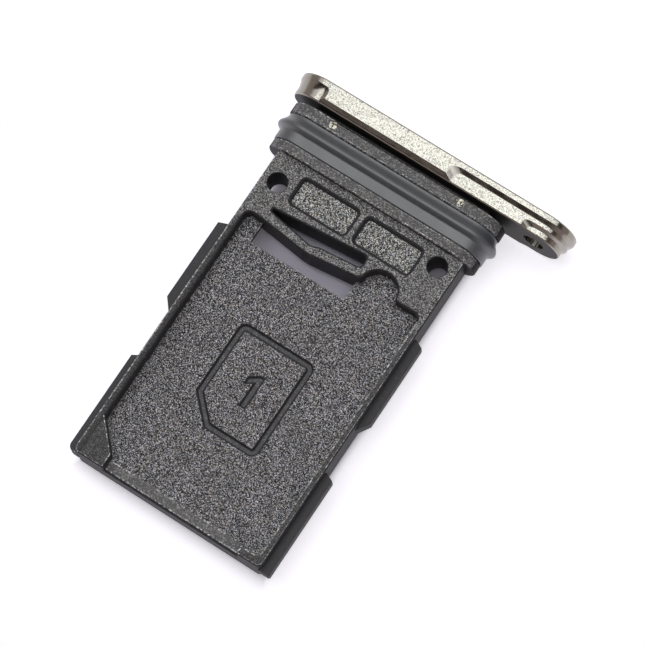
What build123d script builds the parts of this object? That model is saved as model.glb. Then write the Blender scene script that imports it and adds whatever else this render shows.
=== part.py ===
from build123d import *
import os

os.makedirs("parts", exist_ok=True)

# Two-sided sim card tray. X runs along the end cap, +Y is the way the tray is pulled out and +Z is up.
# Sizes are in millimetres. While it is drawn, X = 0 is the middle of the collar, Y = 0 is the card
# pocket's edge at the bridge, and Z = 0 is the middle of the web between the two cards.

# The card and its pocket, one on each side of the web
card_width = 8.80
card_length = 12.30
card_side_room = 0.11
card_end_room = 0.15
pocket_depth = 0.70
web_thickness = 0.35
wall_thickness = 0.34
pocket_off_middle = 0.06
end_wall = 0.60
pocket_corner = 0.30
rim_round = 0.10
under_rim_bevel = 0.06
outer_round = 0.09
key_width = 1.20
key_length = 1.40
key_land = 0.10
ledge_height = 0.15
ledge_round = 0.18
ledge_stop = 0.92
corner_relief = 0.18
end_corner = 0.28

# Guide rails on the two long sides, the left one at the open end narrower than the rest
right_rail_reach = 0.41
left_rail_reach = 0.53
narrow_rail_reach = 0.36
rail_end_corner = 0.10
rail_thickness = 0.75
rail_lead = 0.20
rail_run_out = 0.65
front_rail_start = 0.85
front_rail_length = 4.87
rear_rail_length = 5.15

# Bridge between the pocket and the flange
bridge_length = 3.05
hole_diameter = 0.92
hole_inset = 0.85
left_hole_from_edge = 1.74
right_hole_from_edge = 2.27
label_length = 2.86
label_width = 1.29
label_gap = 0.46
label_corner = 0.20
label_depth = 0.20
label_from_edge = 1.92
notch_radius = 0.88
notch_from_wall = 2.20
notch_round = 0.12

# Spring arm at the pocket's edge, shared by both cards
arm_span = 5.26
arm_from_wall = 0.61
arm_bow = 0.31
arm_apex_round = 2.00
slot_left_wall = 0.34
slot_right_wall = 0.22
slot_left_edge = 0.66
slot_right_edge = 1.04
slot_tip = 0.14
slot_round = 0.20
arm_dip_thickness = 0.44
arm_shoulder = 0.42
arm_shoulder_thickness = 0.58
arm_back = 0.46
dip_round = 0.25
window_depth = 1.00
window_inset = 0.18

# Sim-shaped outline sunk in the upper floor
icon_width = 3.80
icon_length = 4.85
icon_from_edge = 4.20
icon_corner = 0.36
icon_chamfer = 1.20
icon_line = 0.26
icon_depth = 0.14

# Collar: flange, seal groove and neck, all with round ends
flange_overhang = 0.55
neck_overhang = 0.65
collar_height = 2.40
flange_width = 0.48
groove_width = 1.34
groove_depth = 0.48
neck_width = 0.56
collar_edge = 0.05

# Seal ring in the groove
seal_gap = 0.02
seal_below_collar = 0.05
lip_from_flange = 0.53
lip_front_slope = 0.10
lip_width = 0.26
lip_back_slope = 0.08
lip_height = 0.25
lip_crown = 0.09

# End cap: a lip all round, a boss inside it, a raised pad on the boss and a lower nose at the right end
cap_height = 3.00
cap_gap = 0.25
cap_left_reach = 0.45
cap_right_reach = 2.87
face_thickness = 0.28
face_edge = 0.06
boss_depth = 0.80
boss_step = 0.14
boss_slope = 0.21
boss_edge = 0.05
pad_length = 6.34
pad_from_boss_edge = 0.25
pad_slope = 0.19
nose_length = 2.33
nose_depth = 0.42
nose_step = 0.15
nose_slope = 0.14
run_down = 0.38
pin_hole_diameter = 1.00
pin_hole_from_tip = 1.60
pin_hole_lead = 0.08

# Tongue of the cap, with two studs, inside the neck
tongue_cover = 0.27
tongue_length = 1.60
tongue_from_side = 1.00
stud_diameter = 0.36
stud_pitch = 6.64
stud_from_neck_end = 0.25
moulding_gap = 0.01

# How far cutters overshoot, and how near an edge or corner lies to the place it is picked by
overshoot = 1.00
touch = 0.001

# Worked out from the sizes above
pocket_half = card_width / 2 + card_side_room
pocket_length = card_length + card_end_room
pocket_left = pocket_off_middle - pocket_half
pocket_right = pocket_off_middle + pocket_half
body_half = pocket_half + wall_thickness
body_left = pocket_left - wall_thickness
body_right = pocket_right + wall_thickness
body_thickness = 2 * pocket_depth + web_thickness
body_top = body_thickness / 2
body_end = -(pocket_length + end_wall)
floor_level = web_thickness / 2
ledge_level = floor_level + ledge_height
flange_half = body_half + flange_overhang
neck_half = body_half + neck_overhang
core_half = neck_half - groove_depth
core_height = collar_height - 2 * groove_depth
flange_end = bridge_length + flange_width
groove_end = flange_end + groove_width
neck_end = groove_end + neck_width
boss_start = neck_end + cap_gap
face_start = boss_start + boss_depth
cap_end = face_start + face_thickness
cap_left = -(neck_half + cap_left_reach)
cap_right = neck_half + cap_right_reach
cap_top = cap_height / 2
boss_top = cap_top - boss_step
nose_top = boss_top - nose_step
arm_left = pocket_left + arm_from_wall
arm_right = arm_left + arm_span
arm_middle = (arm_left + arm_right) / 2
notch_x = pocket_right - notch_from_wall


def slab(outline, low, high):
    """Flat prism over an outline in X and Y, between two heights."""
    return Pos(0, 0, low) * extrude(outline, amount=high - low)


def polygon(*points):
    return make_face(Polyline(*points, close=True))


def rectangle(left, right, near, far):
    return Pos((left + right) / 2, (near + far) / 2) * Rectangle(right - left, far - near)


def corners_at(outline, *points):
    return [v for v in outline.vertices() if any((v.center() - Vector(*p)).length < touch for p in points)]


def upside_down(solid):
    return mirror(solid, about=Plane.XY)


def round_ended(left, right, height, y):
    """Round-ended outline that stands across the tray, in the plane at one Y."""
    plane = Plane(((left + right) / 2, y, 0), x_dir=(1, 0, 0), z_dir=(0, 1, 0))
    return plane * SlotOverall(right - left, height)


def bar(left, right, height, start, end):
    """Round-ended bar along X, between two Y planes."""
    return extrude(round_ended(left, right, height, start), amount=end - start)


def edges_at(solid, y):
    """Edges that lie in one Y plane."""
    flat = [e for e in solid.edges() if e.bounding_box().size.Y < touch]
    return [e for e in flat if abs(e.center().Y - y) < touch]


def pocket_outline(key_side):
    """Card outline with its blocked corner, relief in the other one, and the finger notch at the bridge."""
    key_x = pocket_off_middle + key_side * pocket_half
    open_x = pocket_off_middle - key_side * pocket_half
    inner_x = key_x - key_side * key_width
    stop_x = open_x + key_side * ledge_stop
    far_end = -pocket_length - corner_relief
    card = polygon(
        (open_x, 0),
        (key_x, 0),
        (key_x, -pocket_length + key_length),
        (inner_x, -pocket_length + key_land),
        (inner_x, -pocket_length),
        (stop_x, -pocket_length),
        (stop_x, far_end),
        (open_x, far_end),
    )
    card = fillet(corners_at(card, (open_x, 0), (key_x, 0), (open_x, far_end)), pocket_corner)
    outline = card + Pos(notch_x, 0) * Circle(notch_radius)
    return fillet(corners_at(outline, (notch_x - notch_radius, 0), (notch_x + notch_radius, 0)), notch_round)


def mouth_edges(solid):
    """Edges of the pocket's mouth on the upper face."""
    top = [e for e in solid.edges() if e.bounding_box().min.Z > body_top - touch]
    inside = [e for e in top if pocket_left - touch < e.center().X < pocket_right + touch]
    return [e for e in inside if body_end + touch < e.center().Y < notch_radius + touch]


def make_body():
    """Plate with rounded outer edges, before the pockets, rails and collar."""
    plate = rectangle(body_left, body_right, body_end, bridge_length + flange_width / 2)
    plate = fillet(corners_at(plate, (body_left, body_end), (body_right, body_end)), end_corner)
    body = slab(plate, -body_top, body_top)
    return fillet(body.edges().filter_by(Plane.XY), outer_round)


def sink_pocket(body, key_side):
    """Cuts a card pocket into the upper side."""
    return body - slab(pocket_outline(key_side), floor_level, body_top + overshoot)


def lower_end_wall(body):
    """Lowers the end wall to a ledge beside the blocked corner, and rounds the ledge's brink."""
    ledge = rectangle(pocket_left + key_width, pocket_right - ledge_stop, body_end - overshoot, -pocket_length + touch)
    body -= slab(ledge, ledge_level, body_top + overshoot)
    brink = [e for e in edges_at(body, body_end) if abs(e.center().Z - ledge_level) < touch]
    return fillet(brink, ledge_round)


def rail(wall, reach, start, tail):
    """One guide rail out from a side wall, with a short lead at the cap end and a given tail at the other."""
    inward = -wall_thickness / 2 if reach > 0 else wall_thickness / 2
    inner = (wall + inward, start)
    lead = [(wall, start), (wall + reach, start - rail_lead)]
    outline = polygon(inner, *lead, *tail, (wall + inward, tail[-1][1]))
    return slab(outline, -rail_thickness / 2, rail_thickness / 2)


def make_rails():
    rails = []
    for wall, reach in ((body_right, right_rail_reach), (body_left, -left_rail_reach)):
        end = -front_rail_start - front_rail_length
        tail = [(wall + reach, end + rail_run_out), (wall, end)]
        rails.append(rail(wall, reach, -front_rail_start, tail))
    rear = ((body_right, right_rail_reach, rail_end_corner), (body_left, -narrow_rail_reach, end_corner))
    for wall, reach, corner_round in rear:
        one = rail(wall, reach, body_end + rear_rail_length, [(wall + reach, body_end)])
        corner = [e for e in edges_at(one, body_end) if abs(e.center().X - wall - reach) < touch]
        rails.append(fillet(corner, corner_round))
    return rails


def arm_outline():
    """Shallow V of constant thickness that reaches from the bridge into the pocket."""
    back = slot_left_edge / 2
    apex = (arm_middle, -arm_bow)
    front = polygon((arm_left, back), (arm_left, 0), apex, (arm_right, 0), (arm_right, back))
    return fillet(corners_at(front, apex), arm_apex_round)


def slot_outline():
    """Through slot behind the arm, narrow at its left tip, with a dip in the arm's back behind the apex."""
    left = arm_left + slot_left_wall
    right = arm_right - slot_right_wall
    tip = [(left, slot_left_edge - slot_tip), (left, slot_left_edge)]
    end = [(right, slot_right_edge), (right, arm_back)]
    dip = (arm_middle, arm_dip_thickness - arm_bow)
    shoulder = (arm_middle + arm_shoulder, arm_shoulder_thickness - arm_bow)
    slot = polygon(*tip, *end, shoulder, dip)
    slot = fillet(corners_at(slot, *tip), slot_tip / 3)
    slot = fillet(corners_at(slot, *end), slot_round)
    return fillet(corners_at(slot, dip, shoulder), dip_round)


def icon_outline():
    """Outline of a card with one cut corner, as a line of constant width."""
    left = -icon_width / 2
    right = icon_width / 2
    top = -icon_from_edge
    bottom = top - icon_length
    cut = [(left + icon_chamfer, bottom), (left, bottom + icon_chamfer)]
    card = polygon((left, top), (right, top), (right, bottom), *cut)
    card = fillet(corners_at(card, (left, top), (right, top), (right, bottom)), icon_corner)
    return card - offset(card, -icon_line, kind=Kind.INTERSECTION)


def tongue_with_studs(room):
    """Tongue of the cap and its two studs, grown by some room on every side."""
    half = neck_half - tongue_from_side + room
    start = neck_end - tongue_length - room
    top = core_height / 2 - tongue_cover + room
    tongue = slab(rectangle(-half, half, start, boss_start), -top, top)
    for side in (-1, 1):
        stud = Cylinder(stud_diameter / 2 + room, collar_height + 2 * room)
        tongue += Pos(side * stud_pitch / 2, neck_end - stud_from_neck_end) * stud
    return tongue


def make_collar():
    """Flange and neck on a core, with the seal's groove between them."""
    flange = bar(-flange_half, flange_half, collar_height, bridge_length, flange_end)
    neck = bar(-neck_half, neck_half, collar_height, groove_end, neck_end)
    core = bar(-core_half, core_half, core_height, bridge_length, neck_end)
    flange_rims = edges_at(flange, bridge_length) + edges_at(flange, flange_end)
    neck_rims = edges_at(neck, groove_end) + edges_at(neck, neck_end)
    return chamfer(flange_rims, collar_edge) + chamfer(neck_rims, collar_edge) + core


def make_carrier():
    body = lower_end_wall(sink_pocket(make_body(), -1))
    body = fillet(mouth_edges(body), rim_round)
    under = sink_pocket(upside_down(body), 1)
    body = upside_down(chamfer(mouth_edges(under), under_rim_bevel))
    for one in make_rails():
        body += one

    arm = arm_outline()
    body += slab(arm, -body_top, body_top)
    body -= slab(slot_outline(), -body_top - overshoot, body_top + overshoot)
    window = rectangle(arm_left + window_inset, arm_right - window_inset, -window_depth, 0)
    body -= slab(window - arm, -floor_level - touch, floor_level + touch)

    hole_x = body_half - hole_inset
    for x, y in ((-hole_x, left_hole_from_edge), (hole_x, right_hole_from_edge)):
        body -= Pos(x, y) * Cylinder(hole_diameter / 2, body_thickness + overshoot)
    for side in (-1, 1):
        label = RectangleRounded(label_length, label_width, label_corner)
        label = Pos(side * (label_length + label_gap) / 2, label_from_edge) * label
        body -= slab(label, body_top - label_depth, body_top + overshoot)
    body -= slab(icon_outline(), floor_level - icon_depth, floor_level + touch)
    return body + make_collar() - tongue_with_studs(moulding_gap)


def make_pad():
    """Raised pad on the boss, level with the lip, with sloping sides."""
    left = cap_left + cap_top + pad_slope
    right = left + pad_length
    front = boss_start + pad_from_boss_edge
    foot = rectangle(left - pad_slope, right + run_down, front - pad_slope, face_start)
    crown = rectangle(left, right, front, face_start)
    return loft([Pos(0, 0, boss_top) * foot, Pos(0, 0, cap_top) * crown], ruled=True)


def make_nose_cut(boss_outline):
    """What is cut away round the nose: the space between the boss and a smaller bar, past a long slope."""
    outline = (cap_left, cap_right - boss_step - nose_step, 2 * nose_top)
    slope_start = boss_start + nose_depth - nose_slope
    nose = chamfer(edges_at(bar(*outline, boss_start, slope_start), boss_start), boss_edge)
    slope_end = boss_start + nose_depth
    nose += loft([round_ended(*outline, slope_start), round_ended(*boss_outline, slope_end)], ruled=True)
    left = cap_right - nose_length
    right = cap_right + overshoot
    high = cap_top + overshoot
    side = [(left, boss_top), (left, high), (right, high), (right, -high), (left, -high), (left, -boss_top)]
    room = polygon(*side, (left + run_down, -nose_top), (left + run_down, nose_top))
    standing = Plane((0, boss_start, 0), x_dir=(1, 0, 0), z_dir=(0, -1, 0))
    return extrude(standing * room, amount=-nose_depth) - nose


def make_cap():
    cap_outline = (cap_left, cap_right, cap_height)
    boss_outline = (cap_left + boss_step, cap_right - boss_step, 2 * boss_top)
    face = bar(*cap_outline, face_start, cap_end)
    face = chamfer(edges_at(face, cap_end), face_edge)
    slope_start = face_start - boss_slope
    boss = bar(*boss_outline, boss_start, slope_start)
    boss = chamfer(edges_at(boss, boss_start), boss_edge)
    boss += loft([round_ended(*boss_outline, slope_start), round_ended(*cap_outline, face_start)], ruled=True)
    boss -= make_nose_cut(boss_outline)
    pad = make_pad()
    cap = face + boss + pad + upside_down(pad)

    pin_x = cap_right - pin_hole_from_tip
    radius = pin_hole_diameter / 2
    along = Plane((pin_x, boss_start, 0), x_dir=(1, 0, 0), z_dir=(0, 1, 0))
    cap -= extrude(along * Circle(radius), amount=cap_end - boss_start)
    lead = Plane((pin_x, cap_end - pin_hole_lead / 2, 0), x_dir=(1, 0, 0), z_dir=(0, 1, 0))
    cap -= lead * Cone(radius, radius + pin_hole_lead, pin_hole_lead)
    return cap + tongue_with_studs(0)


def make_seal():
    """Ring of constant section with one raised lip, turned round the neck's round ends."""
    low = core_height / 2 + seal_gap
    band = collar_height / 2 - seal_below_collar
    crest = band + lip_height
    shoulder = crest - lip_crown
    start = flange_end + seal_gap
    end = groove_end - seal_gap
    lip_foot = flange_end + lip_from_flange
    lip_start = lip_foot + lip_front_slope
    lip_end = lip_start + lip_width
    outline = Polyline(
        (lip_start, shoulder),
        (lip_foot, band),
        (start, band),
        (start, low),
        (end, low),
        (end, band),
        (lip_end + lip_back_slope, band),
        (lip_end, shoulder),
    )
    crown = ThreePointArc((lip_end, shoulder), ((lip_start + lip_end) / 2, crest), (lip_start, shoulder))
    section = make_face(outline.edges() + crown.edges())
    centre = neck_half - collar_height / 2
    upright = Plane((-centre, 0, 0), x_dir=(0, 1, 0), z_dir=(1, 0, 0))
    straight = extrude(upright * section, amount=2 * centre)
    ring = straight + upside_down(straight)
    for side in (-1, 1):
        turning = Plane((side * centre, 0, 0), x_dir=(0, 1, 0), z_dir=(1, 0, 0))
        ring += revolve(turning * section, Axis((side * centre, 0, 0), (0, side, 0)), 180)
    return ring


to_origin = Pos(-(cap_left + cap_right) / 2, -(body_end + cap_end) / 2, cap_top)
pieces = {
    "tray_carrier": make_carrier(),
    "end_cap": make_cap(),
    "seal_ring": make_seal(),
}
for name, piece in pieces.items():
    export_step(to_origin * piece, f"parts/{name}.step")
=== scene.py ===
import math

import bmesh
import bpy
from mathutils import Matrix, Vector


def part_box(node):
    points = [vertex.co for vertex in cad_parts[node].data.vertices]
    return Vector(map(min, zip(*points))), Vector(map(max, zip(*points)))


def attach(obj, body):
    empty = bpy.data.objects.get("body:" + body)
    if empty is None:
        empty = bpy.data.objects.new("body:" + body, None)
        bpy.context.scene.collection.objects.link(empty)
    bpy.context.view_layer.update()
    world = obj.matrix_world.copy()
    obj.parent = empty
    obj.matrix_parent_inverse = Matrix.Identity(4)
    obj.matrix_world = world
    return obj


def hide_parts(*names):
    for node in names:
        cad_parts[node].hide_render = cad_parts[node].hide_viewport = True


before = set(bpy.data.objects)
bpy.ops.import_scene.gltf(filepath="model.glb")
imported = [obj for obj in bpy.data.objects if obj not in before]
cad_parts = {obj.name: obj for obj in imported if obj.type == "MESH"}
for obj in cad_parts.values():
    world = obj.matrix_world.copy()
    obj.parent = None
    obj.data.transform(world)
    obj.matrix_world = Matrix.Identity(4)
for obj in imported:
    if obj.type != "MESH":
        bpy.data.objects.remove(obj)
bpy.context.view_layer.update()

mm = 0.001  # sizes below are in millimetres, as on the drawing
print("frame loaded:", sorted(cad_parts))


# node helpers

def addNode(tree, kind, inputs=None, **settings):
    made = tree.nodes.new(kind)
    for name, value in settings.items():
        setattr(made, name, value)
    for name, value in (inputs or {}).items():
        made.inputs[name].default_value = value
    return made


def join(tree, source, target):
    tree.links.new(source, target)


def feed(tree, value, socket):
    if isinstance(value, (int, float)):
        socket.default_value = value
    elif isinstance(value, tuple):
        socket.default_value = (*value, 1)
    else:
        join(tree, value, socket)


def calc(tree, operation, first, second=None):
    made = addNode(tree, "ShaderNodeMath", operation=operation)
    for place, value in enumerate((first, second)):
        if value is not None:
            feed(tree, value, made.inputs[place])
    return made.outputs[0]


def ramp(tree, value, low, high, toLow=0.0, toHigh=1.0, smooth=True):
    kind = "SMOOTHSTEP" if smooth else "LINEAR"
    made = addNode(tree, "ShaderNodeMapRange", interpolation_type=kind)
    join(tree, value, made.inputs["Value"])
    ends = {"From Min": low, "From Max": high, "To Min": toLow, "To Max": toHigh}
    for name, number in ends.items():
        feed(tree, number, made.inputs[name])
    return made.outputs["Result"]


def mixColour(tree, factor, first, second, blend="MIX"):
    made = addNode(tree, "ShaderNodeMix", data_type="RGBA", blend_type=blend)
    feed(tree, factor, made.inputs["Factor"])
    for name, value in (("A", first), ("B", second)):
        feed(tree, value, [s for s in made.inputs if s.name == name and s.type == "RGBA"][0])
    return [s for s in made.outputs if s.type == "RGBA"][0]


def newGroup(name, inputs, outputs):
    tree = bpy.data.node_groups.new(name, "ShaderNodeTree")
    for socketName, value in inputs.items():
        socket = tree.interface.new_socket(socketName, in_out="INPUT", socket_type="NodeSocketFloat")
        socket.default_value = value
    for socketName, kind in outputs.items():
        tree.interface.new_socket(socketName, in_out="OUTPUT", socket_type=kind)
    return tree, tree.nodes.new("NodeGroupInput"), tree.nodes.new("NodeGroupOutput")


def newMaterial(name):
    made = bpy.data.materials.new(name)
    made.use_nodes = True
    made.node_tree.nodes.clear()
    tree = made.node_tree
    shader = addNode(tree, "ShaderNodeBsdfPrincipled")
    output = addNode(tree, "ShaderNodeOutputMaterial")
    join(tree, shader.outputs["BSDF"], output.inputs["Surface"])
    return made, tree, shader


# grit: random grains with a few bright facets, for the moulded grain and the blasted metal

blueLean = 1.6  # a grain's tint moves its blue more than its red
cloudSpan = (0.25, 0.75)  # where the values of a noise texture mostly lie
cloudDetail = 2.0


def makeGrit():
    inputs = {"Grains per mm": 20.0, "Sparkle": 2.6, "Tint": 0.06}
    outputs = {"Value": "NodeSocketFloat", "Height": "NodeSocketFloat", "Colour": "NodeSocketColor"}
    tree, given, result = newGroup("grit", inputs, outputs)
    where = addNode(tree, "ShaderNodeTexCoord")
    cells = addNode(tree, "ShaderNodeTexVoronoi", {"Randomness": 1.0}, feature="F1")
    join(tree, where.outputs["Object"], cells.inputs["Vector"])
    join(tree, calc(tree, "MULTIPLY", given.outputs["Grains per mm"], 1 / mm), cells.inputs["Scale"])
    apart = addNode(tree, "ShaderNodeSeparateColor")
    join(tree, cells.outputs["Color"], apart.inputs["Color"])
    value = calc(tree, "POWER", apart.outputs["Red"], given.outputs["Sparkle"])
    join(tree, value, result.inputs["Value"])
    height = calc(tree, "SUBTRACT", apart.outputs["Green"], cells.outputs["Distance"])
    join(tree, height, result.inputs["Height"])
    middle = calc(tree, "SUBTRACT", apart.outputs["Blue"], 0.5)
    lean = calc(tree, "MULTIPLY", middle, given.outputs["Tint"])
    tinted = addNode(tree, "ShaderNodeCombineColor")
    join(tree, calc(tree, "SUBTRACT", 1.0, lean), tinted.inputs["Red"])
    tinted.inputs["Green"].default_value = 1.0
    join(tree, calc(tree, "ADD", 1.0, calc(tree, "MULTIPLY", lean, blueLean)), tinted.inputs["Blue"])
    join(tree, tinted.outputs["Color"], result.inputs["Colour"])
    return tree


grit = makeGrit()


def placeGrit(tree, look):
    placed = addNode(tree, "ShaderNodeGroup", node_tree=grit)
    placed.inputs["Grains per mm"].default_value = look["grainsPerMm"]
    placed.inputs["Sparkle"].default_value = look["sparkle"]
    placed.inputs["Tint"].default_value = look["tint"]
    return placed


def gritty(name, look):
    made, tree, shader = newMaterial(name)
    grains = placeGrit(tree, look)
    bright = grains.outputs["Value"]
    where = addNode(tree, "ShaderNodeTexCoord")
    cloud = addNode(tree, "ShaderNodeTexNoise", {"Scale": look["cloudPerMm"] / mm, "Detail": cloudDetail})
    join(tree, where.outputs["Object"], cloud.inputs["Vector"])
    spread = look["cloudiness"]
    level = ramp(tree, cloud.outputs["Fac"], *cloudSpan, 1 - spread, 1 + spread, smooth=False)
    if "fadeY" in look:  # the grain dies out along the tray
        apart = addNode(tree, "ShaderNodeSeparateXYZ")
        join(tree, where.outputs["Object"], apart.inputs[0])
        near, far = (y * mm for y in look["fadeY"])
        strength = ramp(tree, apart.outputs["Y"], near, far, look["fadeShare"], 1)
        bright = calc(tree, "MULTIPLY", bright, strength)
    bright = calc(tree, "MULTIPLY", bright, level)
    colour = mixColour(tree, bright, look["pits"], look["peaks"])
    if "paintedShadeX" in look:  # painted shade: the left wall's top is painted darker towards the pocket
        rim, inside = (x * mm for x in look["paintedShadeX"])
        wall = ramp(tree, apart.outputs["X"], rim, inside, 1, look["paintedShadeTo"], smooth=False)
        past = calc(tree, "GREATER_THAN", apart.outputs["X"], inside)
        onBridge = ramp(tree, apart.outputs["Y"], near, far)
        shade = calc(tree, "MAXIMUM", calc(tree, "MAXIMUM", wall, past), onBridge)
        colour = mixColour(tree, 1.0, colour, shade, "MULTIPLY")
    colour = mixColour(tree, 1.0, colour, grains.outputs["Colour"], "MULTIPLY")
    join(tree, colour, shader.inputs["Base Color"])
    join(tree, ramp(tree, bright, 0, 1, *look["roughness"]), shader.inputs["Roughness"])
    bump = addNode(tree, "ShaderNodeBump", {"Strength": 1.0, "Distance": look["depth"] * mm})
    join(tree, grains.outputs["Height"], bump.inputs["Height"])
    join(tree, bump.outputs["Normal"], shader.inputs["Normal"])
    shader.inputs["Metallic"].default_value = look.get("metallic", 0)
    shader.inputs["Specular IOR Level"].default_value = look.get("specular", 0.5)
    return made


# mesh helpers

joinWithin = 0.0005  # corners of the frame's triangles that are one point
flatWithin = 0.5  # degrees between triangles of one flat face
sharpFrom = 35  # degrees from which an edge stays an edge
flatWeight = 100  # large faces set the shading of the small ones beside them


def newPiece(name, mesh):
    piece = bpy.data.objects.new(name, mesh)
    bpy.context.scene.collection.objects.link(piece)
    return piece


def bake(piece):
    view = bpy.context.evaluated_depsgraph_get()
    mesh = bpy.data.meshes.new_from_object(piece.evaluated_get(view))
    old = piece.data
    piece.modifiers.clear()
    piece.data = mesh
    bpy.data.meshes.remove(old)
    mesh.name = piece.name


def mergedCopy(node, name):  # a CAD node's triangles, joined and with its flat faces whole again
    work = bmesh.new()
    work.from_mesh(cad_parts[node].data)
    bmesh.ops.remove_doubles(work, verts=work.verts, dist=joinWithin * mm)
    bmesh.ops.dissolve_limit(work, angle_limit=math.radians(flatWithin), verts=work.verts, edges=work.edges)
    mesh = bpy.data.meshes.new(name)
    work.to_mesh(mesh)
    work.free()
    for layer in [a.name for a in mesh.attributes if a.name == "custom_normal"]:
        mesh.attributes.remove(mesh.attributes[layer])
    mesh.materials.clear()
    return newPiece(name, mesh)


def finishShading(piece):
    mesh = piece.data
    mesh.shade_smooth()
    mesh.set_sharp_from_angle(angle=math.radians(sharpFrom))
    flat = piece.modifiers.new("flatFaces", "WEIGHTED_NORMAL")
    flat.mode = "FACE_AREA"
    flat.weight = flatWeight
    flat.keep_sharp = True
    bake(piece)


# carrier moulding

carrier = {
    "levels": {"floor": 1.675, "ledge": 1.825, "rail": 1.875, "label": 2.175, "top": 2.375, "collar": 2.7},
    "middle": 1.5,
    "labels": ((-2.87, 5.065), (0.45, 5.065)), "labelSize": (2.86, 1.29),
    "holes": ((-5.21, 4.885), (2.79, 5.415)), "holeRadius": 0.46,
    "icon": (-3.15, 0.73, -5.95, -1.0),
    "sides": (-6.05, 3.75), "collarStart": 6.15, "bridgeStart": 2.0, "pocketMiddle": (-1.15, -3.1),
    "ledgeZone": (-9.5, -9.15), "leftWall": -5.5, "leftRim": (-5.76, -5.58),
    "keyCorner": (-4.3, -7.8), "rimDepth": 0.05,
    "near": 0.01, "slack": 0.02, "hair": 0.0001,  # room for rounding when a face or an edge is placed
    "flatTilt": 0.99, "litTilt": 0.88, "leftTilt": 0.5, "collarTilt": 0.5, "roundTilt": 0.2,
    "uprightShare": 0.9, "edgeSteps": 3,
    "edges": {"label": 0.12, "labelFloor": 0.04, "opening": 0.085, "hole": 0.03, "icon": 0.05,
              "rail": 0.05, "collar": 0.02, "ledge": 0.085, "wall": 0.04, "other": 0.04},
    "sunkEdges": ("label", "labelFloor", "icon"),
    "darkEdges": ("label", "labelFloor", "opening", "hole", "icon", "wall"),
    "numeral": {"centre": (-1.21, -3.5), "height": 1.55, "stroke": 0.27, "flag": 0.36, "depth": 0.11,
                "tip": 0.2, "drop": 0.8, "flagWidth": 1.1, "neck": 1.35},  # shares of the stroke or the flag
    "finishes": ("smooth", "floor", "bridge", "collar", "ledge", "edge", "label", "groove", "rail"),
    "levelFinish": {"floor": "floor", "label": "label", "top": "bridge", "collar": "collar",
                    "ledge": "ledge", "rail": "rail"},
    "floorLook": {"grainsPerMm": 34.0, "sparkle": 4.4, "tint": 0.2, "pits": (0.004, 0.004, 0.005),
                  "peaks": (0.97, 0.96, 1.0), "cloudPerMm": 0.5, "cloudiness": 0.08,
                  "roughness": (0.5, 0.38), "depth": 0.007, "specular": 0.3},
    "labelLook": {"grainsPerMm": 27.0, "sparkle": 2.9, "tint": 0.2, "pits": (0.004, 0.004, 0.004),
                  "peaks": (1.0, 1.0, 0.97), "cloudPerMm": 0.8, "cloudiness": 0.12,
                  "roughness": (0.5, 0.38), "depth": 0.004, "specular": 0.3},
    "bridgeLook": {"grainsPerMm": 31.0, "sparkle": 2.8, "tint": 0.15, "pits": (0.022, 0.022, 0.023),
                   "peaks": (0.6, 0.6, 0.6), "cloudPerMm": 0.5, "cloudiness": 0.12,
                   "roughness": (0.5, 0.38), "depth": 0.004, "specular": 0.3,
                   "fadeY": (2.0, 3.0), "fadeShare": 0.3, "paintedShadeX": (-5.95, -5.66), "paintedShadeTo": 0.3},
    "collarLook": {"grainsPerMm": 22.0, "sparkle": 4.0, "tint": 0.1, "pits": (0.082, 0.082, 0.084),
                   "peaks": (0.36, 0.36, 0.36), "cloudPerMm": 0.9, "cloudiness": 0.2,
                   "roughness": (0.5, 0.4), "depth": 0.002, "specular": 0.3},
    "railLook": {"grainsPerMm": 14.0, "sparkle": 9.0, "tint": 0.03, "pits": (0.072, 0.072, 0.077),
                 "peaks": (0.09, 0.09, 0.095), "cloudPerMm": 1.2, "cloudiness": 0.25,
                 "roughness": (0.46, 0.46), "depth": 0.0004, "specular": 0.06},
    "ledgeLook": {"grainsPerMm": 20.0, "sparkle": 3.0, "tint": 0.08, "pits": (0.08, 0.08, 0.083),
                  "peaks": (0.3, 0.3, 0.3), "cloudPerMm": 1.2, "cloudiness": 0.3,
                  "roughness": (0.45, 0.4), "depth": 0.002, "specular": 0.3},
    "smoothLook": {"grainsPerMm": 18.0, "sparkle": 9.0, "tint": 0.05, "pits": (0.042, 0.042, 0.047),
                   "peaks": (0.085, 0.085, 0.09), "cloudPerMm": 1.5, "cloudiness": 0.3,
                   "roughness": (0.42, 0.46), "depth": 0.0004, "specular": 0.03},
    "grooveLook": {"grainsPerMm": 20.0, "sparkle": 5.0, "tint": 0.05, "pits": (0.075, 0.075, 0.08),
                   "peaks": (0.2, 0.2, 0.2), "cloudPerMm": 1.5, "cloudiness": 0.3,
                   "roughness": (0.42, 0.46), "depth": 0.001, "specular": 0.2},
    # painted highlight: the edge finish is a lighter, glossier plastic that stands in for the light caught on
    # rounded edges
    "edgeLook": {"grainsPerMm": 16.0, "sparkle": 3.0, "tint": 0.06, "pits": (0.08, 0.08, 0.085),
                 "peaks": (0.95, 0.95, 0.96), "cloudPerMm": 1.2, "cloudiness": 0.3,
                 "roughness": (0.34, 0.3), "depth": 0.0008, "specular": 0.3},
}


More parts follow.
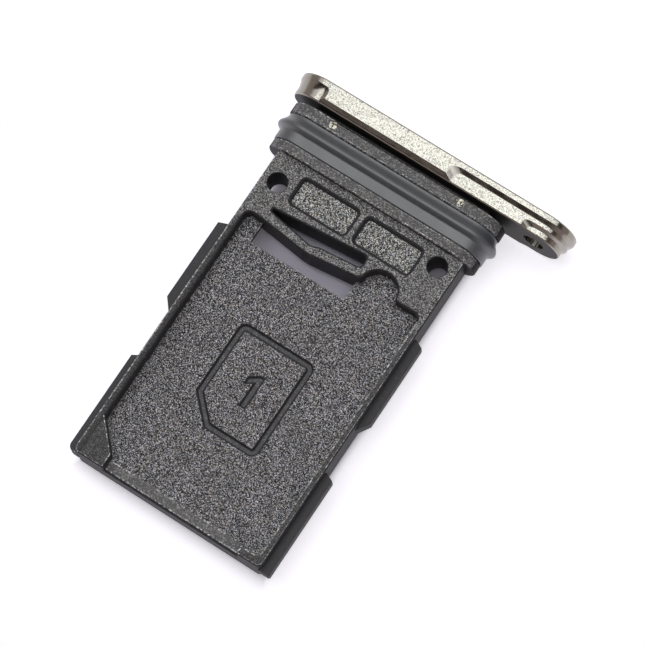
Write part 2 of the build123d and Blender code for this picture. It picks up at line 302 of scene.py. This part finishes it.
def cutNumeral(piece):
    one = carrier["numeral"]
    cx, cy = one["centre"]
    high, stroke, flag = one["height"], one["stroke"], one["flag"]
    left = -(stroke + flag) / 2
    stem = left + flag
    foot = cy - high / 2
    flagTop = high - one["drop"] * flag
    outline = [(stem + stroke, 0), (stem + stroke, high), (stem + one["tip"] * stroke, high), (left, flagTop),
               (left, flagTop - one["flagWidth"] * stroke), (stem, high - one["neck"] * stroke), (stem, 0)]
    work = bmesh.new()
    low = carrier["levels"]["floor"] - one["depth"]
    base = work.faces.new([work.verts.new(((cx + x) * mm, (foot + y) * mm, low * mm)) for x, y in outline])
    raised = bmesh.ops.extrude_face_region(work, geom=[base])
    top = [v for v in raised["geom"] if isinstance(v, bmesh.types.BMVert)]
    bmesh.ops.translate(work, verts=top, vec=(0, 0, 2 * one["depth"] * mm))
    bmesh.ops.recalc_face_normals(work, faces=work.faces)
    mesh = bpy.data.meshes.new("numeralCutter")
    work.to_mesh(mesh)
    work.free()
    cutter = newPiece("numeralCutter", mesh)
    cut = piece.modifiers.new("sunkNumeral", "BOOLEAN")
    cut.operation = "DIFFERENCE"
    cut.solver = "EXACT"
    cut.object = cutter
    bake(piece)
    bpy.data.objects.remove(cutter)


def edgeKind(point):
    x, y, z = (c / mm for c in point)
    rise = abs(z - carrier["middle"]) + carrier["middle"]
    levels, near, slack = carrier["levels"], carrier["near"], carrier["slack"]
    if y > carrier["collarStart"]:
        return "collar"
    if x < carrier["sides"][0] or x > carrier["sides"][1]:
        return "rail"
    wide, deep = (s / 2 + carrier["edges"]["label"] for s in carrier["labelSize"])
    atLabel = any(abs(x - lx) < wide and abs(y - ly) < deep for lx, ly in carrier["labels"])
    if atLabel and z > levels["label"] - slack:
        return "label" if z > (levels["top"] + levels["label"]) / 2 else "labelFloor"
    if any(math.hypot(x - hx, y - hy) < carrier["holeRadius"] + slack for hx, hy in carrier["holes"]):
        return "hole"
    left, right, front, back = carrier["icon"]
    if left < x < right and front < y < back and z < levels["floor"] + near:
        return "icon"
    if rise > levels["top"] - carrier["edges"]["opening"] - near and y > carrier["bridgeStart"]:
        return "opening"
    front, back = carrier["ledgeZone"]
    if front < y < back and levels["floor"] + slack < z < levels["ledge"] + near:
        return "ledge"
    outer, inner = carrier["leftRim"]
    if outer < x < inner and rise > levels["top"] - carrier["rimDepth"]:
        return "wall"
    return "other"


def weighEdges(piece, widest):  # each edge's own width, as a share of the widest
    work = bmesh.new()
    work.from_mesh(piece.data)
    weights = work.edges.layers.float.new("bevel_weight_edge")
    for edge in work.edges:
        start, end = (vert.co for vert in edge.verts)
        upright = abs(end.z - start.z) > carrier["uprightShare"] * (end - start).length
        if upright or edge.calc_face_angle() < math.radians(sharpFrom):
            continue
        kind = edgeKind((start + end) / 2)
        if edge.is_convex or kind in carrier["sunkEdges"]:
            edge[weights] = carrier["edges"][kind] / widest
    work.to_mesh(piece.data)
    work.free()


def softenEdges(piece, places):  # all edges in one cut, each by its own width
    widest = max(carrier["edges"].values())
    weighEdges(piece, widest)
    soft = piece.modifiers.new("softEdges", "BEVEL")
    soft.limit_method = "WEIGHT"
    soft.width = widest * mm
    soft.segments = carrier["edgeSteps"]
    soft.use_clamp_overlap = False
    soft.loop_slide = False
    # the bevel strips take the edge finish, a painted highlight
    soft.material = places["edge"]
    bake(piece)
    work = bmesh.new()
    work.from_mesh(piece.data)
    bmesh.ops.dissolve_degenerate(work, edges=work.edges, dist=carrier["hair"] * mm)
    work.to_mesh(piece.data)
    work.free()
    low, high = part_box("tray_carrier")
    for vert in piece.data.vertices:  # a cut that ends on a tangent can overshoot the end face by a hair
        vert.co = [min(max(c, a), b) for c, a, b in zip(vert.co, low, high)]
    # edges of the dark kinds keep no painted highlight and go back to the smooth plastic; rail edges take the
    # rail's finish
    for face in piece.data.polygons:
        if face.material_index == places["edge"]:
            kind = edgeKind(face.center)
            if kind in carrier["darkEdges"]:
                face.material_index = places["smooth"]
            elif kind == "rail":
                face.material_index = places["rail"]


def flatFinish(face):  # a flat face's finish goes by its height, the same above and below the middle
    z = face.center.z / mm
    rise = abs(z - carrier["middle"])
    sunk = z < carrier["levels"]["floor"] - carrier["slack"]
    if sunk and face.normal.z > 0 and edgeKind(face.center) == "icon":
        return "groove"
    for level, finish in carrier["levelFinish"].items():
        if abs(rise - (carrier["levels"][level] - carrier["middle"])) < carrier["near"]:
            return finish
    return "smooth"


def slopeFinish(face):  # chosen rounds of the rim and of the open end get the edge finish, a painted highlight
    x, y, z = (c / mm for c in face.center)
    tilt = abs(face.normal.z)
    if y > carrier["collarStart"] and tilt > carrier["collarTilt"]:
        return "collar"
    low = abs(z - carrier["middle"]) <= carrier["levels"]["floor"] - carrier["middle"]
    if low or tilt <= carrier["roundTilt"] or y >= carrier["bridgeStart"]:
        return "smooth"
    middleX, middleY = carrier["pocketMiddle"]
    inward = face.normal.x * (middleX - x) + face.normal.y * (middleY - y) > 0
    atKey = x < carrier["keyCorner"][0] and y < carrier["keyCorner"][1]
    if x < carrier["leftWall"]:
        paintedHighlight = tilt > carrier["leftTilt"] and not inward
    else:
        paintedHighlight = tilt > carrier["litTilt"] or inward and not atKey
    return "edge" if paintedHighlight else "smooth"


def makeCarrier():
    piece = mergedCopy("tray_carrier", "carrierMoulding")
    cutNumeral(piece)
    mesh = piece.data
    mesh.materials.clear()
    for finish in carrier["finishes"]:
        mesh.materials.append(gritty(finish + "Plastic", carrier[finish + "Look"]))
    places = {finish: place for place, finish in enumerate(carrier["finishes"])}
    for face in mesh.polygons:
        flat = abs(face.normal.z) > carrier["flatTilt"]
        face.material_index = places[flatFinish(face) if flat else slopeFinish(face)]
    softenEdges(piece, places)
    finishShading(piece)
    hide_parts("tray_carrier")
    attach(piece, "root")
    print("carrier:", len(piece.data.polygons), "faces")


makeCarrier()


# metal end cap: round-ended rings along Y, with a height above the middle line for every place

cap = {
    "middle": 1.5, "ends": (-5.66, 5.66), "start": 8.825, "finish": 9.905,
    "lip": 1.50, "boss": 1.36, "nose": 1.21, "innerEdge": 0.05, "outerEdge": 0.06,
    "bossSlope": (9.415, 9.625), "noseSlope": (9.105, 9.245), "noseRun": (4.83, 5.21),
    "pad": {"left": (-5.66, -5.47), "right": (0.87, 1.25), "front": (8.885, 9.075)},
    "soft": 0.014, "cornerSoft": 0.2, "noRise": -9,
    "rows": 90, "arcSteps": 48, "endShare": 0.997, "wideStep": 0.16, "fineStep": 0.03, "lastGap": 0.001,
    "fineRuns": ((-5.66, -5.31), (0.75, 1.4), (4.7, 5.35)),  # where a slope crosses the ring
    "flatTilt": 0.985, "endTilt": 0.935, "hair": 0.003,
    "pinHole": {"x": 5.56, "radius": 0.5, "lead": 0.08, "segments": 48},
    "tongue": {"x": (-5.71, 3.29), "y": (6.975, 8.83), "z": (1.05, 1.95)},
    "studs": {"x": (-4.53, 2.11), "y": 8.325, "radius": 0.18, "z": (0.3, 2.7), "segments": 32,
              "topFrom": 1.19, "topTilt": 0.9},
    "blastedLook": {"grainsPerMm": 26.0, "sparkle": 0.4, "tint": 0.06, "pits": (0.05, 0.047, 0.038),
                    "peaks": (0.81, 0.805, 0.73), "cloudPerMm": 0.4, "cloudiness": 0.06,
                    "roughness": (0.6, 0.5), "depth": 0.002, "metallic": 1},
    "studLook": {"grainsPerMm": 15.0, "sparkle": 1.3, "tint": 0.1, "pits": (0.05, 0.048, 0.04),
                 "peaks": (0.72, 0.7, 0.6), "cloudPerMm": 2.0, "cloudiness": 0.3,
                 "roughness": (0.6, 0.5), "depth": 0.003, "metallic": 1},
    "polishedLook": {"colour": (0.34, 0.32, 0.29), "streakPerMm": 2.2, "streakDetail": 3.0,
                     "streakSpan": (0.3, 0.7), "roughness": (0.16, 0.28), "depth": 0.004},
    # painted shade, partly a darker finish: near-black and not metal, for the tongue and the face towards the
    # neck in the gap
    "paintedShadeLook": {"colour": (0.022, 0.02, 0.019), "roughness": 0.5, "specular": 0.2},
}


def softLow(a, b, soft=None):
    soft = soft or cap["soft"]
    reach = max(soft - abs(a - b), 0) / soft
    return min(a, b) - reach * reach * soft / 4


def softHigh(a, b, soft=None):
    return -softLow(-a, -b, soft)


def share(value, span):
    return (value - span[0]) / (span[1] - span[0])


def capHeight(x, y, onRight):
    lip, boss, nose = cap["lip"], cap["boss"], cap["nose"]
    corner = cap["cornerSoft"]
    pad = cap["pad"]
    rise, run = cap["noRise"], cap["noRise"]
    if not onRight:  # the pad and the nose's run stop before the right end
        rise = min(share(x, pad["left"]), 1 - share(x, pad["right"]), share(y, pad["front"]))
        run = 1 - share(x, cap["noseRun"])
    wall = softHigh(share(y, cap["bossSlope"]), rise, corner / (lip - boss))
    height = softLow(softHigh(boss, boss + (lip - boss) * wall), lip)
    wall = softHigh(share(y, cap["noseSlope"]), run, corner / (boss - nose))
    height = softLow(height, softHigh(nose, nose + (boss - nose) * wall))
    foot = min(height, boss) - cap["innerEdge"]
    height = softLow(height, foot + y - cap["start"])
    return softLow(height, lip + cap["finish"] - cap["outerEdge"] - y)


def capStations():  # along the top, round the right end, back below and round the left end
    left, right = cap["ends"]
    xs, x = [], left
    while x < right - cap["lastGap"]:
        xs.append(x)
        close = any(a - cap["wideStep"] < x < b for a, b in cap["fineRuns"])
        x += cap["fineStep"] if close else cap["wideStep"]
    xs.append(right)
    steps = cap["arcSteps"]
    ring = [(x, Vector((0, 0, 1)), False) for x in xs]
    turns = [math.pi * i / steps for i in range(1, steps)]
    reach = cap["endShare"]  # the drawing's own ends are faceted, a hair inside the true round
    ring += [(right, Vector((reach * math.sin(t), 0, math.cos(t))), True) for t in turns]
    ring += [(x, Vector((0, 0, -1)), False) for x in reversed(xs)]
    ring += [(left, Vector((-reach * math.sin(t), 0, -math.cos(t))), False) for t in turns]
    return ring


def ringLoop(work, centre, radius, y, segments):
    loop = []
    for i in range(segments):
        turn = 2 * math.pi * i / segments
        spot = Vector((centre + radius * math.cos(turn), y, cap["middle"] + radius * math.sin(turn)))
        loop.append(work.verts.new(spot * mm))
    return loop


def joinLoops(work, first, second):
    count = len(first)
    for i in range(count):
        work.faces.new((first[i], first[(i + 1) % count], second[(i + 1) % count], second[i]))


def fillBetween(work, outer, hole):
    rims = []
    for loop in (outer, hole):
        for i, vert in enumerate(loop):
            other = loop[(i + 1) % len(loop)]
            rims.append(work.edges.get((vert, other)) or work.edges.new((vert, other)))
    bmesh.ops.triangle_fill(work, edges=rims, use_beauty=True)


def addBox(work, xs, ys, zs):
    box = bmesh.ops.create_cube(work, size=1)["verts"]
    for vert in box:
        vert.co = Vector([(span[0] if c < 0 else span[1]) * mm for c, span in zip(vert.co, (xs, ys, zs))])


def addStud(work, x):
    stud = cap["studs"]
    low, high = stud["z"]
    place = Matrix.Translation((x * mm, stud["y"] * mm, (low + high) / 2 * mm))
    radius = stud["radius"] * mm
    bmesh.ops.create_cone(work, cap_ends=True, segments=stud["segments"], radius1=radius, radius2=radius,
                          depth=(high - low) * mm, matrix=place)


def makeCapMaterials():
    blasted = gritty("blastedMetal", cap["blastedLook"])
    polished, tree, shader = newMaterial("polishedMetal")
    look = cap["polishedLook"]
    where = addNode(tree, "ShaderNodeTexCoord")
    streak = addNode(tree, "ShaderNodeTexNoise", {"Detail": look["streakDetail"]})
    streak.inputs["Scale"].default_value = look["streakPerMm"] / mm
    join(tree, where.outputs["Object"], streak.inputs["Vector"])
    gloss = ramp(tree, streak.outputs["Fac"], *look["streakSpan"], *look["roughness"])
    join(tree, gloss, shader.inputs["Roughness"])
    bump = addNode(tree, "ShaderNodeBump", {"Strength": 1.0, "Distance": look["depth"] * mm})
    join(tree, streak.outputs["Fac"], bump.inputs["Height"])
    join(tree, bump.outputs["Normal"], shader.inputs["Normal"])
    shader.inputs["Base Color"].default_value = (*look["colour"], 1)
    shader.inputs["Metallic"].default_value = 1
    inner, tree, shader = newMaterial("paintedShadeMetal")
    look = cap["paintedShadeLook"]
    shader.inputs["Base Color"].default_value = (*look["colour"], 1)
    shader.inputs["Roughness"].default_value = look["roughness"]
    shader.inputs["Specular IOR Level"].default_value = look["specular"]
    studs = gritty("studMetal", cap["studLook"])
    return {"polished": polished, "blasted": blasted, "inner": inner, "stud": studs}


def capFinish(face):
    x, y, z = (c / mm for c in face.center)
    tilt = abs(face.normal.z)
    if y < cap["start"] + cap["hair"]:  # the tongue, its studs and the face towards the neck: painted shade except on the studs' tops
        stud = cap["studs"]
        onStud = abs(z - cap["middle"]) > stud["topFrom"] and tilt > stud["topTilt"]
        return "stud" if onStud else "inner"
    limit = cap["flatTilt"] if x < cap["ends"][1] else cap["endTilt"]
    return "blasted" if tilt > limit else "polished"


def makeCap():
    work = bmesh.new()
    ring = capStations()
    rows = []
    for i in range(cap["rows"] + 1):
        y = cap["start"] + (cap["finish"] - cap["start"]) * i / cap["rows"]
        rows.append([work.verts.new((Vector((x, y, cap["middle"])) + out * capHeight(x, y, right)) * mm)
                     for x, out, right in ring])
    for first, second in zip(rows, rows[1:]):
        joinLoops(work, first, second)
    hole = cap["pinHole"]
    bore = [(hole["radius"], cap["start"]), (hole["radius"], cap["finish"] - hole["lead"]),
            (hole["radius"] + hole["lead"], cap["finish"])]
    loops = [ringLoop(work, hole["x"], r, y, hole["segments"]) for r, y in bore]
    for first, second in zip(loops, loops[1:]):
        joinLoops(work, first, second)
    fillBetween(work, rows[0], loops[0])
    fillBetween(work, rows[-1], loops[-1])
    addBox(work, *(cap["tongue"][axis] for axis in "xyz"))
    for x in cap["studs"]["x"]:
        addStud(work, x)
    bmesh.ops.recalc_face_normals(work, faces=work.faces)
    mesh = bpy.data.meshes.new("endCapMetal")
    work.to_mesh(mesh)
    work.free()
    piece = newPiece("endCapMetal", mesh)
    finishes = makeCapMaterials()
    for material in finishes.values():
        mesh.materials.append(material)
    places = {finish: place for place, finish in enumerate(finishes)}
    for face in mesh.polygons:
        face.material_index = places[capFinish(face)]
    finishShading(piece)
    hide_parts("end_cap")
    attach(piece, "root")
    print("cap:", len(piece.data.polygons), "faces")


makeCap()


# rubber seal: one section swept round the neck by geometry nodes

seal = {
    "start": 6.695, "width": 1.30, "middle": (-1.21, 1.5), "arcCentre": 4.30,
    "inner": 0.74, "crest": 1.40,
    "section": ((0.0, 0.0), (0.0, 0.58), (0.025, 0.62), (0.36, 0.62), (0.385, 0.635), (0.405, 0.68),
                (0.47, 0.89), (0.495, 0.95), (0.53, 0.99), (0.57, 1.0), (0.63, 0.97), (0.70, 0.88),
                (0.79, 0.74), (0.87, 0.65), (0.93, 0.62), (0.975, 0.62), (1.0, 0.58), (1.0, 0.0)),
    "sectionSteps": 160, "pathSteps": 96, "closeWithin": 0.0001,
    "colour": (0.05, 0.059, 0.068), "shadeShare": 0.86,
    "cloudPerMm": 1.1, "cloudDetail": 4.0, "cloudRoughness": 0.6, "cloudSpan": (0.3, 0.7),
    "roughness": (0.46, 0.56), "specular": 1.0, "coat": 0.8, "coatRoughness": 0.4,
}


def sectionCurve(tree, factor, points):  # through the section's points, by their share of the way round
    node = addNode(tree, "ShaderNodeFloatCurve")
    curve = node.mapping.curves[0]
    while len(curve.points) > 2:
        curve.points.remove(curve.points[-1])
    for place, (at, value) in enumerate(points):
        point = curve.points[place] if place < 2 else curve.points.new(at, value)
        point.location = (at, value)
        point.handle_type = "VECTOR"
    node.mapping.use_clip = False
    node.mapping.update()
    join(tree, factor, node.inputs["Value"])
    return node.outputs["Value"]


def makeSealTree(material):
    tree = bpy.data.node_groups.new("sealSweep", "GeometryNodeTree")
    sizes = {"Start": seal["start"], "Width": seal["width"], "Arc centre": seal["arcCentre"],
             "Inner": seal["inner"], "Crest": seal["crest"],
             "Middle X": seal["middle"][0], "Middle Z": seal["middle"][1]}
    tree.interface.new_socket("Geometry", in_out="INPUT", socket_type="NodeSocketGeometry")
    for name in sizes:
        tree.interface.new_socket(name, in_out="INPUT", socket_type="NodeSocketFloat")
    tree.interface.new_socket("Geometry", in_out="OUTPUT", socket_type="NodeSocketGeometry")
    given = tree.nodes.new("NodeGroupInput")
    result = tree.nodes.new("NodeGroupOutput")
    grid = addNode(tree, "GeometryNodeMeshGrid", {"Size X": 1.0, "Size Y": 1.0})
    grid.inputs["Vertices X"].default_value = seal["pathSteps"] + 1
    grid.inputs["Vertices Y"].default_value = seal["sectionSteps"] + 1
    apart = addNode(tree, "ShaderNodeSeparateXYZ")
    join(tree, addNode(tree, "GeometryNodeInputPosition").outputs["Position"], apart.inputs[0])
    around = calc(tree, "ADD", apart.outputs["X"], 0.5)
    along = calc(tree, "ADD", apart.outputs["Y"], 0.5)
    turn = calc(tree, "MULTIPLY", calc(tree, "ADD", around, 0.5 / seal["pathSteps"]), 2 * math.pi)
    side, rise = calc(tree, "COSINE", turn), calc(tree, "SINE", turn)
    points = seal["section"]
    count = len(points)
    spread = [(i / count, p) for i, p in enumerate(points)] + [(1.0, points[0])]
    sweepY = sectionCurve(tree, along, [(t, p[0]) for t, p in spread])
    sweepUp = sectionCurve(tree, along, [(t, p[1]) for t, p in spread])
    reach = calc(tree, "SUBTRACT", given.outputs["Crest"], given.outputs["Inner"])
    radius = calc(tree, "ADD", given.outputs["Inner"], calc(tree, "MULTIPLY", sweepUp, reach))
    centre = calc(tree, "MULTIPLY", calc(tree, "SIGN", side), given.outputs["Arc centre"])
    centreX = calc(tree, "ADD", centre, given.outputs["Middle X"])
    x = calc(tree, "ADD", centreX, calc(tree, "MULTIPLY", side, radius))
    y = calc(tree, "ADD", given.outputs["Start"], calc(tree, "MULTIPLY", sweepY, given.outputs["Width"]))
    z = calc(tree, "ADD", given.outputs["Middle Z"], calc(tree, "MULTIPLY", rise, radius))
    spot = addNode(tree, "ShaderNodeCombineXYZ")
    for name, value in (("X", x), ("Y", y), ("Z", z)):
        join(tree, calc(tree, "MULTIPLY", value, mm), spot.inputs[name])
    shape = addNode(tree, "GeometryNodeSetPosition")
    join(tree, grid.outputs["Mesh"], shape.inputs["Geometry"])
    join(tree, spot.outputs[0], shape.inputs["Position"])
    closed = addNode(tree, "GeometryNodeMergeByDistance", {"Distance": seal["closeWithin"] * mm})
    join(tree, shape.outputs["Geometry"], closed.inputs["Geometry"])
    smooth = addNode(tree, "GeometryNodeSetShadeSmooth")
    join(tree, closed.outputs["Geometry"], smooth.inputs["Geometry"])
    real = addNode(tree, "GeometryNodeRealizeInstances")
    join(tree, smooth.outputs["Geometry"], real.inputs["Geometry"])
    paint = addNode(tree, "GeometryNodeSetMaterial")
    paint.inputs["Material"].default_value = material
    join(tree, real.outputs["Geometry"], paint.inputs["Geometry"])
    join(tree, paint.outputs["Geometry"], result.inputs["Geometry"])
    return tree, sizes


def makeRubber():
    rubber, tree, shader = newMaterial("sealRubber")
    where = addNode(tree, "ShaderNodeTexCoord")
    cloud = addNode(tree, "ShaderNodeTexNoise", {"Scale": seal["cloudPerMm"] / mm})
    cloud.inputs["Detail"].default_value = seal["cloudDetail"]
    cloud.inputs["Roughness"].default_value = seal["cloudRoughness"]
    join(tree, where.outputs["Object"], cloud.inputs["Vector"])
    tone = ramp(tree, cloud.outputs["Fac"], *seal["cloudSpan"])
    dark = tuple(seal["shadeShare"] * c for c in seal["colour"])
    join(tree, mixColour(tree, tone, dark, seal["colour"]), shader.inputs["Base Color"])
    gloss = ramp(tree, cloud.outputs["Fac"], *seal["cloudSpan"], *seal["roughness"])
    join(tree, gloss, shader.inputs["Roughness"])
    shader.inputs["Specular IOR Level"].default_value = seal["specular"]
    shader.inputs["Coat Weight"].default_value = seal["coat"]
    shader.inputs["Coat Roughness"].default_value = seal["coatRoughness"]
    return rubber


def makeSeal():
    rubber = makeRubber()
    tree, sizes = makeSealTree(rubber)
    piece = newPiece("sealRing", bpy.data.meshes.new("sealRing"))
    sweep = piece.modifiers.new("sealSweep", "NODES")
    sweep.node_group = tree
    for item in tree.interface.items_tree:
        if item.in_out == "INPUT" and item.name in sizes:
            sweep[item.identifier] = sizes[item.name]
    bake(piece)
    work = bmesh.new()
    work.from_mesh(piece.data)
    bmesh.ops.recalc_face_normals(work, faces=work.faces)
    work.to_mesh(piece.data)
    work.free()
    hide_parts("seal_ring")
    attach(piece, "root")
    print("seal:", len(piece.data.polygons), "faces")


makeSeal()


# stage, light and camera

stage = {
    "floorSide": 4000, "floorColour": (0.84, 0.81, 0.95), "floorRoughness": 0.9, "floorLift": 0.6,
    "shadowRadius": (11, 18),
    "underMiddle": -1.15, "underHalf": (4.85, 9.9), "paintedShadowFade": (0.92, 1.06), "paintedShadowLift": 0.01,
    "roomLight": 0.5,
    "lampAzimuth": -43, "lampElevation": 74, "lampDistance": 450, "lampSide": 620, "lampPower": 1.5,
    "curtainRadius": 600, "curtainHeight": 900, "curtainSides": 64, "curtainFade": (0.37, 0.44),
    "curtainLow": (0.85, 0.77, 0.7), "curtainHigh": (0.11, 0.085, 0.068),
}


def seenRays(tree):
    path = addNode(tree, "ShaderNodeLightPath")
    seen = calc(tree, "MAXIMUM", path.outputs["Is Camera Ray"], path.outputs["Is Glossy Ray"])
    return calc(tree, "MAXIMUM", seen, path.outputs["Is Transmission Ray"])


def makeFloor():
    half = stage["floorSide"] / 2 * mm
    mesh = bpy.data.meshes.new("studioFloor")
    corners = [(-half, -half, 0), (half, -half, 0), (half, half, 0), (-half, half, 0)]
    mesh.from_pydata(corners, [], [(0, 1, 2, 3)])
    floor = newPiece("studioFloor", mesh)
    paper, tree, shader = newMaterial("floorPaper")
    shader.inputs["Base Color"].default_value = (*stage["floorColour"], 1)
    shader.inputs["Roughness"].default_value = stage["floorRoughness"]
    shader.inputs["Specular IOR Level"].default_value = 0
    shader.inputs["Emission Color"].default_value = (1, 1, 1, 1)
    seen = seenRays(tree)
    where = addNode(tree, "ShaderNodeTexCoord")
    apart = addNode(tree, "ShaderNodeSeparateXYZ")
    join(tree, where.outputs["Object"], apart.inputs[0])
    wide, deep = (size * mm for size in stage["underHalf"])
    across = calc(tree, "ABSOLUTE", calc(tree, "SUBTRACT", apart.outputs["X"], stage["underMiddle"] * mm))
    along = calc(tree, "DIVIDE", calc(tree, "ABSOLUTE", apart.outputs["Y"]), deep)
    beside = calc(tree, "MAXIMUM", calc(tree, "DIVIDE", across, wide), along)
    # painted shadow: below the tray, in a box its size, the floor's brightening for the camera drops out
    lift = ramp(tree, beside, *stage["paintedShadowFade"], stage["paintedShadowLift"], stage["floorLift"])
    join(tree, calc(tree, "MULTIPLY", lift, seen), shader.inputs["Emission Strength"])
    reach = addNode(tree, "ShaderNodeVectorMath", operation="LENGTH")
    join(tree, where.outputs["Object"], reach.inputs[0])
    inner, outer = (r * mm for r in stage["shadowRadius"])
    away = ramp(tree, reach.outputs["Value"], inner, outer)
    white = addNode(tree, "ShaderNodeEmission", {"Color": (1, 1, 1, 1), "Strength": 1.0})
    blend = addNode(tree, "ShaderNodeMixShader")
    join(tree, calc(tree, "MULTIPLY", away, seen), blend.inputs["Fac"])
    join(tree, shader.outputs["BSDF"], blend.inputs[1])
    join(tree, white.outputs[0], blend.inputs[2])
    output = [n for n in tree.nodes if n.type == "OUTPUT_MATERIAL"][0]
    join(tree, blend.outputs[0], output.inputs["Surface"])
    mesh.materials.append(paper)


def makeCurtain():
    radius, high = stage["curtainRadius"] * mm, stage["curtainHeight"] * mm
    work = bmesh.new()
    place = Matrix.Translation((0, 0, high / 2))
    bmesh.ops.create_cone(work, cap_ends=False, segments=stage["curtainSides"], radius1=radius,
                          radius2=radius, depth=high, matrix=place)
    mesh = bpy.data.meshes.new("studioCurtain")
    work.to_mesh(mesh)
    work.free()
    curtain = newPiece("studioCurtain", mesh)
    felt, tree, shader = newMaterial("curtainFelt")
    where = addNode(tree, "ShaderNodeTexCoord")
    apart = addNode(tree, "ShaderNodeSeparateXYZ")
    join(tree, where.outputs["Object"], apart.inputs[0])
    low, top = (s * high for s in stage["curtainFade"])
    rise = ramp(tree, apart.outputs["Z"], low, top)
    tone = mixColour(tree, rise, stage["curtainLow"], stage["curtainHigh"])
    join(tree, tone, shader.inputs["Base Color"])
    shader.inputs["Roughness"].default_value = 1
    mesh.materials.append(felt)
    curtain.visible_camera = False


def makeWorld():
    world = bpy.data.worlds.new("studioRoom")
    world.use_nodes = True
    tree = world.node_tree
    tree.nodes.clear()
    strength = ramp(tree, seenRays(tree), 0, 1, stage["roomLight"], 1, smooth=False)
    background = addNode(tree, "ShaderNodeBackground", {"Color": (1, 1, 1, 1)})
    join(tree, strength, background.inputs["Strength"])
    output = addNode(tree, "ShaderNodeOutputWorld")
    join(tree, background.outputs[0], output.inputs["Surface"])
    bpy.context.scene.world = world


def makeLamp():
    azimuth = math.radians(stage["lampAzimuth"])
    rise = math.radians(stage["lampElevation"])
    away = Vector((math.sin(azimuth) * math.cos(rise), math.cos(azimuth) * math.cos(rise), math.sin(rise)))
    light = bpy.data.lights.new("softBox", "AREA")
    light.shape = "SQUARE"
    light.size = stage["lampSide"] * mm
    light.energy = stage["lampPower"]
    lamp = bpy.data.objects.new("softBox", light)
    lamp.location = away * stage["lampDistance"] * mm
    lamp.rotation_mode = "QUATERNION"
    lamp.rotation_quaternion = (-away).to_track_quat("-Z", "Y")
    bpy.context.scene.collection.objects.link(lamp)


makeFloor()
makeCurtain()
makeWorld()
makeLamp()
print("stage ready")

shot = {"azimuth": 43.13, "elevation": 74.22, "roll": -10.12, "aim": (-0.21, 0.81, 1.5), "distance": 162.3,
        "lens": 207.8, "sensor": 36, "clip": (5, 10000)}


def makeCamera():
    azimuth, rise, roll = (math.radians(shot[k]) for k in ("azimuth", "elevation", "roll"))
    back = Vector((math.sin(azimuth) * math.cos(rise), -math.cos(azimuth) * math.cos(rise), math.sin(rise)))
    level = Vector((math.cos(azimuth), math.sin(azimuth), 0))
    right = math.cos(roll) * level + math.sin(roll) * back.cross(level)
    turn = Matrix((right, back.cross(right), back)).transposed().to_4x4()
    data = bpy.data.cameras.new("photoCamera")
    data.lens = shot["lens"]
    data.sensor_width = shot["sensor"]
    data.clip_start, data.clip_end = (reach * mm for reach in shot["clip"])
    camera = bpy.data.objects.new("photoCamera", data)
    camera.matrix_world = Matrix.Translation((Vector(shot["aim"]) + back * shot["distance"]) * mm) @ turn
    bpy.context.scene.collection.objects.link(camera)
    bpy.context.scene.camera = camera


makeCamera()
bpy.context.scene.view_settings.view_transform = "Standard"
print("camera ready")
